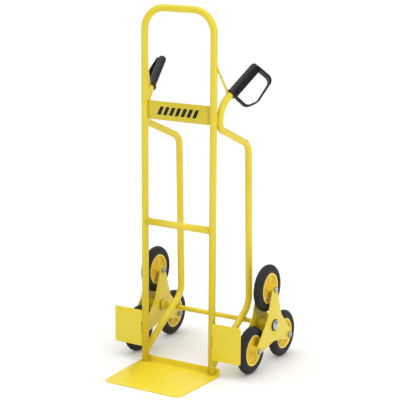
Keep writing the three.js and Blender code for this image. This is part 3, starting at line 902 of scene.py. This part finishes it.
def outward(word, joint):
    """The frame at a joint whose +X points away from the truck's middle."""
    turn = Matrix.Rotation(pi if SIDES[word] < 0 else 0, 4, "Z")
    return Matrix.Translation(JOINT_PLACES[joint]) @ turn


def build_axle():
    low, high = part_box("axle")
    centre = Matrix.Translation((0, (low.y + high.y) / 2, (low.z + high.z) / 2))
    slim = AXLE_RADIUS - AXLE_CHAMFER
    bar = turned([(low.x, 0), (low.x, slim), (low.x + AXLE_CHAMFER, AXLE_RADIUS),
                  (high.x - AXLE_CHAMFER, AXLE_RADIUS), (high.x, slim), (high.x, 0)], segments=48)
    add_piece("axle_bar", moved(bar, centre), PAINT, "frame", "axle")


def cap_profile(seat, bore):
    """A domed cap with a stepped rim, over the end of the axle."""
    step, top = seat + CAP_DOME_FROM, seat + CAP_HEIGHT
    profile = [(seat, bore), (seat, CAP_RADIUS - CAP_RIM_EDGE), (seat + CAP_RIM_EDGE, CAP_RADIUS),
               (seat + CAP_RIM, CAP_RADIUS), (step, CAP_RADIUS - CAP_STEP_EDGE)]
    for angle in quarter_turn(9)[:-1]:
        profile.append((step + (top - step) * sin(angle), CAP_DOME_RADIUS * cos(angle)))
    return profile + [(top, 0), (top - CAP_WALL, 0), (top - CAP_WALL, bore)]


def build_axle_ends(word):
    bore = AXLE_RADIUS + GAP
    inner, outer = -STAR_HALF_WIDTH - GAP, STAR_HALF_WIDTH + GAP
    collar_end = inner - SHADOW_RING - SHADOW_RING_GAP
    washer_end = outer + WASHER_THICKNESS
    collar = ring_profile(inner - COLLAR_LENGTH, collar_end, bore, COLLAR_RADIUS, COLLAR_EDGE)
    # A dark ring between the collar and the star: painted shade at the collar's edge.
    shadow_ring = ring_profile(inner - SHADOW_RING, inner, bore, COLLAR_RADIUS - SHADOW_RING_INSET)
    washer = ring_profile(outer, washer_end, bore, WASHER_RADIUS, WASHER_EDGE)
    for part, profile, material, node, fits in (
            ("collar_skin", collar, PAINT, f"{word}_axle_collar", False),
            ("shadow_ring", shadow_ring, COLLAR_SHADOW, None, True),
            ("washer_disc", washer, BLACK_PLASTIC, f"{word}_axle_washer", True),
            ("cap_dome", cap_profile(washer_end + GAP, bore), CHROME, f"{word}_axle_cap", True)):
        mesh = moved(turned(profile), outward(word, f"{word}_star_spin"))
        add_piece(f"{word}_{part}", mesh, material, "frame", node, fits=fits)


# ---- stars

STAR_TIP = 15 * MM
STAR_FLARE = radians(18)
STAR_VALLEY = 30 * MM
BOLT_RADIUS = 5 * MM
BOLT_HEX = 17 * MM
BOLT_HEAD = 6.4 * MM
NUT_HEIGHT = 8 * MM
THREAD_OVERHANG = 2 * MM
THREAD_PITCH = 1.5 * MM
THREAD_DEPTH = 0.9 * MM
THREAD_LENGTH = 14 * MM
THREAD_CHAMFER = (0.5 * MM, 1 * MM)  # along the thread, and off its radius
SHANK_IN_HEAD = 1 * MM
HEX_FACE = 0.97  # a chamfered face's radius, as a share of half the width over flats
HEX_SLOPE = 0.5
HEX_CLEAR = 0.05 * MM
HEX_OVERRUN = 1 * MM
HEX_EDGE = 0.25 * MM
SPACER_RADIUS = 7.7 * MM
TIP_STEPS = 16
VALLEY_STEPS = 8


def arm_ends(word):
    """Each wheel's centre from the axle, as (arm, y, z)."""
    hub = JOINT_PLACES[f"{word}_star_spin"]
    return [(arm, *(JOINT_PLACES[f"{word}_{arm}_wheel_spin"] - hub).yz) for arm in ARMS]


def star_outline(word):
    """Round tips, edges that flare towards the hub, and a fillet in each valley."""
    points = []
    for _, y, z in sorted(arm_ends(word), key=lambda end: atan2(end[2], end[1]) % (2 * pi)):
        heading = atan2(z, y)
        reach = pi / 2 - STAR_FLARE
        for k in range(TIP_STEPS + 1):
            angle = heading - reach + 2 * reach * k / TIP_STEPS
            points.append((y + STAR_TIP * cos(angle), z + STAR_TIP * sin(angle)))
        half = pi / 6 - STAR_FLARE
        bisector = heading + pi / 3
        edge_distance = hypot(y, z) * sin(STAR_FLARE) + STAR_TIP
        centre = (edge_distance + STAR_VALLEY) / cos(half)
        for k in range(VALLEY_STEPS + 1):
            angle = bisector + pi + half * (1 - 2 * k / VALLEY_STEPS)
            points.append((centre * cos(bisector) + STAR_VALLEY * cos(angle),
                           centre * sin(bisector) + STAR_VALLEY * sin(angle)))
    return points


def star_plate_mesh(word):
    holes = [round_section(AXLE_RADIUS + GAP, count=40)]
    holes += [[(y + u, z + v) for u, v in round_section(BOLT_RADIUS + GAP, count=24)]
              for _, y, z in arm_ends(word)]
    return moved(plate([star_outline(word), *holes], STAR_PLATE), axes(*ACROSS_X))


def hex_body(low, high, chamfer_low, chamfer_high):
    """A hexagon about X whose corners are turned down to a cone at either end."""
    corner = BOLT_HEX / sqrt(3)
    face, clear = BOLT_HEX / 2 * HEX_FACE, corner + HEX_CLEAR
    slope = (corner - face) * HEX_SLOPE
    envelope = [(low, 0), (low, face if chamfer_low else clear)]
    envelope += [(low + slope, clear)] if chamfer_low else []
    envelope += [(high - slope, clear)] if chamfer_high else []
    envelope += [(high, face if chamfer_high else clear), (high, 0)]
    bar = plate([round_section(corner, count=6)], high - low + 2 * HEX_OVERRUN, HEX_EDGE)
    bar = moved(bar, axes(*ACROSS_X, (low - HEX_OVERRUN, 0, 0)))
    return boolean(bar, turned(envelope, segments=72), "INTERSECT")


def threaded_end(low, high, core):
    """The profile of a thread's visible end, as rings."""
    chamfer, inset = THREAD_CHAMFER
    profile = [(low, 0), (low, core - inset)]
    place = low + chamfer
    while place + THREAD_PITCH < high:
        profile += [(place, core - THREAD_DEPTH), (place + THREAD_PITCH / 2, core)]
        place += THREAD_PITCH
    return profile + [(place, core - THREAD_DEPTH)]


def bolt_mesh():
    seat = STAR_HALF_WIDTH + GAP
    end = -(STAR_HALF_WIDTH + GAP + NUT_HEIGHT + THREAD_OVERHANG)
    head = hex_body(seat, seat + BOLT_HEAD, False, True)
    shank_start, shank_end = end + THREAD_LENGTH, seat + SHANK_IN_HEAD
    shank = threaded_end(end, shank_start, BOLT_RADIUS)
    shank += [(shank_start, BOLT_RADIUS), (shank_end, BOLT_RADIUS), (shank_end, 0)]
    return boolean(head, turned(shank, segments=32), "UNION")


def nut_mesh():
    top = -(STAR_HALF_WIDTH + GAP)
    body = hex_body(top - NUT_HEIGHT, top, True, True)
    start, radius = top - 2 * NUT_HEIGHT, BOLT_RADIUS + GAP
    bore = [(start, 0), (start, radius), (NUT_HEIGHT, radius), (NUT_HEIGHT, 0)]
    return boolean(body, turned(bore, segments=40), "DIFFERENCE")


def build_star(word):
    body = f"{word}_star"
    centre = Matrix.Translation(JOINT_PLACES[f"{word}_star_spin"])
    sheet = star_plate_mesh(word)
    starts = {1: STAR_HALF_WIDTH - STAR_PLATE, -1: -STAR_HALF_WIDTH}
    for layer, end in (("outer", 1), ("inner", -1)):
        shift = Matrix.Translation((starts[SIDES[word] * end], 0, 0))
        mesh = moved(sheet, centre @ shift)
        add_piece(f"{word}_star_{layer}_sheet", mesh, STAR_PAINT, body, f"{word}_star_{layer}_plate")
    half = STAR_HALF_WIDTH - STAR_PLATE - GAP
    hub = turned(ring_profile(-half, half, AXLE_RADIUS + GAP, HUB_TUBE_RADIUS, HUB_TUBE_EDGE))
    mesh = moved(hub, outward(word, f"{word}_star_spin"))
    add_piece(f"{word}_star_hub_sleeve", mesh, PAINT, body, f"{word}_star_hub_tube")
    spacer = turned(ring_profile(-half, half, BOLT_RADIUS + GAP, SPACER_RADIUS), segments=40)
    for arm in ARMS:
        place = outward(word, f"{word}_{arm}_wheel_spin")
        for part, mesh in (("bolt", BOLT), ("nut", NUT), ("spacer", spacer)):
            add_piece(f"{word}_{arm}_{part}_steel", moved(mesh, place), ZINC, body, f"{word}_{arm}_{part}")


# ---- wheels

WHEEL_RADIUS = 76 * MM
RIM_RADIUS = 50 * MM
RIM_HALF_WIDTH = 12 * MM
RIM_LIP = 3.4 * MM
TYRE_SEAT = 46 * MM
TYRE_HALF_WIDTH = 14.6 * MM
TYRE_WIDEST = 57.8 * MM  # radius at which the tyre is widest
TYRE_LIP = 112  # degrees round the tyre's section, from its tread to its inner lip
TREAD_EDGE = 4  # where the section stops short of the tread's middle
TYRE_STEP = 4
TYRE_GROOVES = (68, 24)  # places of the grooves, also in degrees
GROOVE_DEPTH = 0.9 * MM
BOSS_RADIUS = 14 * MM
BOSS_HALF_WIDTH = 25 * MM
WEB_HALF_THICKNESS = 3 * MM
HUB_RIBS = 5
HUB_RIB_HALF_WIDTH = 9 * MM
HUB_RIB_THICKNESS = 4 * MM
HUB_RIB_EDGE = 0.8 * MM
HUB_DISH = TYRE_SEAT - 1.4 * MM  # radius of the dish's wall
HUB_DRAFT = 0.6 * MM
HUB_LIP_LIGHT_BAND = 1.5 * MM  # depth of the lip's band that is painted lighter: painted light on the lip
WHEEL_SEGMENTS = 96


def both_halves(half):
    """A closed profile from its +X half, whose points are (along, radius, corner radius)."""
    other = [(-along, radius, bend) for along, radius, bend in reversed(half)]
    return rounded_outline(half + other, arc_step=15)


def tyre_mesh():
    """A solid tyre: an oval section with two grooves a side, and a foot between the hub's lips."""
    channel = RIM_HALF_WIDTH - RIM_LIP - GAP
    half = [(channel, TYRE_SEAT + GAP, 0), (channel, RIM_RADIUS + GAP, 0)]
    for place in range(TYRE_LIP, TREAD_EDGE - 1, -TYRE_STEP):
        depth = GROOVE_DEPTH if place in TYRE_GROOVES else 0
        angle = radians(place)
        half.append(((TYRE_HALF_WIDTH - depth) * sin(angle),
                     TYRE_WIDEST + (WHEEL_RADIUS - TYRE_WIDEST - depth) * cos(angle), 0))
    return turned(both_halves(half), WHEEL_SEGMENTS)


def hub_mesh():
    """A moulded hub: lips, a dished web with ribs, and a long centre boss."""
    lip, web = RIM_HALF_WIDTH, WEB_HALF_THICKNESS
    body = turned(both_halves([
        (BOSS_HALF_WIDTH, SPACER_RADIUS + 2 * GAP, 0), (BOSS_HALF_WIDTH, BOSS_RADIUS, 1.2 * MM),
        (web + 1 * MM, BOSS_RADIUS + HUB_DRAFT, 2.4 * MM), (web, HUB_DISH - 4 * MM, 2.2 * MM),
        (lip - 2 * MM, HUB_DISH, 1 * MM), (lip, HUB_DISH + HUB_DRAFT, 0.8 * MM),
        (lip, RIM_RADIUS, 1 * MM), (lip - RIM_LIP, RIM_RADIUS, 0.4 * MM), (lip - RIM_LIP, TYRE_SEAT, 0),
    ]), WHEEL_SEGMENTS)
    half, foot = HUB_RIB_THICKNESS / 2, BOSS_RADIUS - 2 * MM
    outline = [(-half, foot), (half, foot), (half, HUB_DISH), (-half, HUB_DISH)]
    rib = moved(plate([outline], 2 * HUB_RIB_HALF_WIDTH, HUB_RIB_EDGE),
                axes(*ACROSS_X, (-HUB_RIB_HALF_WIDTH, 0, 0)))
    for i in range(HUB_RIBS):
        body = boolean(body, moved(rib, Matrix.Rotation(2 * pi * i / HUB_RIBS, 4, "X")), "UNION")
    return body


def build_wheel(word, arm):
    body = f"{word}_{arm}_wheel"
    place = outward(word, f"{word}_{arm}_wheel_spin")
    hub = add_piece(f"{body}_hub_moulding", moved(HUB, place), HUB_PLASTIC, body, f"{body}_hub")
    # The lip's outer band takes the lighter copy of the plastic: painted light.
    hub.data.materials.append(HUB_LIP_PAINTED_LIGHT)
    for face in hub.data.polygons:
        offset = face.center - place.translation
        if abs(offset.x) > RIM_HALF_WIDTH - HUB_LIP_LIGHT_BAND and offset.yz.length > TYRE_SEAT - HUB_LIP_LIGHT_BAND:
            face.material_index = 1
    add_piece(f"{body}_tyre_ring", moved(TYRE, place), RUBBER, body, f"{word}_{arm}_tyre")


BOLT = bolt_mesh()
NUT = nut_mesh()
HUB = hub_mesh()
TYRE = tyre_mesh()
build_axle()
for side_word in SIDES:
    build_axle_ends(side_word)
    build_star(side_word)
    for arm_word in ARMS:
        build_wheel(side_word, arm_word)


# ---- welds

UP = Vector((0, 0, 1))
RING_BEAD = 1.6 * MM
BRACE_BEAD = 1.4 * MM
AXLE_BEAD = 1.8 * MM
AXLE_BEAD_LIFT = 7.4 * MM  # from the axle's centre to the beads where a side tube rests on it
AXLE_BEAD_SPREAD = 4.8 * MM
AXLE_BEAD_REACH = 6 * MM
FOOT_RING_OFFSET = 0.8 * MM  # of a bead's centre line from the surfaces that it joins
RING_OFFSET = 0.6 * MM
COLLAR_OFFSET = 0.5 * MM
FOOT_RING = (-220, 40)  # degrees round an upright's foot
RING_STEP = 60  # degrees of a circle of 1 mm between two points

# Straight beads up an upright: degrees round it, then lower end, upper end, offset and radius in mm.
FOOT_STITCHES = [(60, 6, 22, 0.5, 1.8), (120, 6, 22, 0.5, 1.8)]
CONTACT_STITCHES = [(-31, 794, 828, 1.2, 2.1), (31, 794, 828, 1.2, 2.1)]
GUARD_STITCHES = [(-54, 61, 96, 1, 1.9), (-54, 139, 174, 1, 1.9)]  # below and above a guard's seam
PANEL_STITCHES = [(170, 800, 812, 0.6, 1.8), (170, 819, 831, 0.6, 1.8), (170, 838, 850, 0.6, 1.8)]


def stitches(side, table, facing=0):
    """Straight beads on an upright, at angles from +X or from the way that it faces."""
    beads = []
    for lean, low, high, offset, radius in table:
        turn, reach = radians(facing + lean), TUBE_RADIUS + offset * MM
        x, y = side * (UPRIGHT_X + reach * cos(turn)), reach * sin(turn)
        ends = [Vector((x, y, low * MM)), Vector((x, y, high * MM))]
        beads.append(weld_bead(ends, radius=radius * MM))
    return beads


def ring_line(centre, radius, start=0, end=360, about_x=True):
    """Points round a circle about X, or about Z, between two angles."""
    count = max(FEWEST_STEPS, round(radius / MM * (end - start) / RING_STEP))
    line = []
    for k in range(count + (end - start < 360)):
        turn = radians(start + (end - start) * k / count)
        u, v = cos(turn), sin(turn)
        line.append(centre + Vector((0, u, v) if about_x else (u, v, 0)) * radius)
    return line


def foot_welds(side):
    """Round the front of an upright's foot, and up its contact with the toe plate's flange."""
    centre = Vector((side * UPRIGHT_X, 0, TOE_THICKNESS + FOOT_RING_OFFSET))
    front = ring_line(centre, TUBE_RADIUS + FOOT_RING_OFFSET, *FOOT_RING, about_x=False)
    return [weld_bead(front)] + stitches(side, FOOT_STITCHES)


def side_tube_welds(side):
    """At a side tube's foot, and along its contact with the upright below the grip."""
    foot, next_point, _, contact = (mirrored(Vector(point) * MM, side) for point, _ in SIDE_TUBE)
    upright = Vector((side * UPRIGHT_X, 0, 0))
    joint = saddle(foot, next_point - foot, TUBE_RADIUS, upright, UP)
    toward = contact - upright
    facing = degrees(atan2(toward.y, side * toward.x))
    return [weld_bead(joint, closed=True)] + stitches(side, CONTACT_STITCHES, facing)


def brace_welds(side):
    """Round both ends of a brace rod."""
    top, foot = mirrored(BRACE_TOP, side), on_grip_axis(side, BRACE_TO_GRIP)
    upright = Vector((side * UPRIGHT_X, 0, 0))
    lines = [saddle(top, foot - top, BRACE_RADIUS, upright, UP),
             saddle(foot, top - foot, BRACE_RADIUS, foot, mirrored(GRIP_AXIS, side))]
    return [weld_bead(line, closed=True, radius=BRACE_BEAD) for line in lines]


def axle_welds(side):
    """Two beads where a side tube rests on the axle, and one round the collar's inner edge."""
    hub = JOINT_PLACES["right_star_spin"]
    centre = Vector((0, *hub.yz))
    foot, next_point = (Vector(point) * MM for point, _ in SIDE_TUBE[:2])
    along = (next_point - foot).normalized()
    lifted = (UP - along * along.dot(UP)).normalized() * AXLE_BEAD_LIFT
    x = side * (foot.x + along.x * (centre.y - foot.y) / along.y)
    beads = []
    for spread in (-AXLE_BEAD_SPREAD, AXLE_BEAD_SPREAD):
        middle = centre + lifted + Vector((0, *along.yz)) * spread
        ends = [middle + Vector((x + reach, 0, 0)) for reach in (-AXLE_BEAD_REACH, AXLE_BEAD_REACH)]
        beads.append(weld_bead(ends, radius=AXLE_BEAD))
    collar = hub.x - STAR_HALF_WIDTH - GAP - COLLAR_LENGTH - COLLAR_OFFSET
    ring = ring_line(centre + Vector((side * collar, 0, 0)), AXLE_RADIUS + RING_OFFSET)
    return beads + [weld_bead(ring, closed=True, radius=RING_BEAD)]


def cross_welds(side):
    """A bead round the cross tube's end, and stitches behind the name panel's end."""
    low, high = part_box("cross_tube")
    start = Vector((side * UPRIGHT_X, 0, (low.z + high.z) / 2))
    joint = saddle(start, Vector((-side, 0, 0)), TUBE_RADIUS, start, UP)
    return [weld_bead(joint, closed=True)] + stitches(side, PANEL_STITCHES)


def star_welds(word):
    """Inside a star, round both ends of the tube that joins its two plates."""
    centre = JOINT_PLACES[f"{word}_star_spin"]
    inside = STAR_HALF_WIDTH - STAR_PLATE - RING_OFFSET
    return [weld_bead(ring_line(centre + Vector((x, 0, 0)), HUB_TUBE_RADIUS + RING_OFFSET), closed=True)
            for x in (-inside, inside)]


def build_welds():
    parts = {"foot": foot_welds, "side_tube": side_tube_welds, "brace": brace_welds,
             "guard": lambda side: stitches(side, GUARD_STITCHES), "axle": axle_welds,
             "cross": cross_welds}
    for word, side in SIDES.items():
        for part, beads in parts.items():
            mesh = combine(*beads(side))
            add_piece(f"{word}_{part}_welds", mesh, WELD_PAINT, "frame", sharp_angle=SOFT_ANGLE)
        add_piece(f"{word}_star_welds", combine(*star_welds(word)), WELD_PAINT, f"{word}_star",
                  sharp_angle=SOFT_ANGLE)


build_welds()


# ---- studio

SENSOR_WIDTH = 36  # millimetres, like the lens
LENS = 129.44
CAMERA_PLACE = (2.2902, -3.6661, 1.5520)
CAMERA_TARGET = (0.07743, 0, 0.56066)
CAMERA_ROLL = 0.338  # degrees, clockwise
TRUCK_MIDDLE = (0, 0.1, 0.55)
LIGHTS = [  # name, place, size, watts
    ("key", (4.6, -1.6, 1.6), (1.0, 2.4), 42),
    ("fill", (-3.4, -2.6, 1.2), (2.0, 2.0), 5),
    ("top", (0.2, -0.3, 4.0), (2.4, 2.4), 12),
]
HORIZON_LIGHT = 0.30
ZENITH_LIGHT = 1.60
FLOOR_HALF = 30
FLOOR_Z = -0.0004


def look_from(location, target, roll=0):
    """The matrix of something that looks from a place at a target, rolled clockwise by degrees."""
    back = (Vector(location) - Vector(target)).normalized()
    right = UP.cross(back).normalized()
    level = axes(right, back.cross(right), back, location)
    return level @ Matrix.Rotation(radians(roll), 4, "Z")


def build_camera():
    data = bpy.data.cameras.new("camera")
    data.sensor_width = SENSOR_WIDTH
    data.lens = LENS
    camera = linked("camera", data)
    camera.matrix_world = look_from(CAMERA_PLACE, CAMERA_TARGET, CAMERA_ROLL)
    bpy.context.scene.camera = camera


def build_floor():
    corners = [(x * FLOOR_HALF, y * FLOOR_HALF, FLOOR_Z) for x, y in ((-1, -1), (1, -1), (1, 1), (-1, 1))]
    floor = linked_mesh("floor", (corners, [(0, 1, 2, 3)]))
    paper = Finish("floor_paper")
    colour = paper.ramp(paper.noise(3, 2), (0.3, 0.87), (0.7, 0.89))
    floor.data.materials.append(paper.done(colour, 0.9, Specular_IOR_Level=0.1))


def build_world():
    """A pale dome that is brighter overhead than at the horizon."""
    world = bpy.data.worlds.new("studio")
    world.use_nodes = True
    tree = world.node_tree
    direction = new_node(tree, "ShaderNodeTexCoord", {}, "Generated")
    levels = {"Value": new_node(tree, "ShaderNodeSeparateXYZ", {"Vector": direction}, "Z"),
              "To Min": HORIZON_LIGHT, "To Max": ZENITH_LIGHT}
    sky = tree.nodes["Background"].inputs
    put(tree, sky["Strength"], new_node(tree, "ShaderNodeMapRange", levels, "Result"))
    put(tree, sky["Color"], (1, 1, 1, 1))
    bpy.context.scene.world = world


def build_lights():
    for name, place, size, watts in LIGHTS:
        data = bpy.data.lights.new(name, "AREA")
        data.shape = "RECTANGLE"
        data.size, data.size_y = size
        data.energy = watts
        linked(name, data).matrix_world = look_from(place, TRUCK_MIDDLE)


build_camera()
build_floor()
build_world()
build_lights()
bpy.context.scene.view_settings.view_transform = "Standard"

bpy.context.view_layer.update()
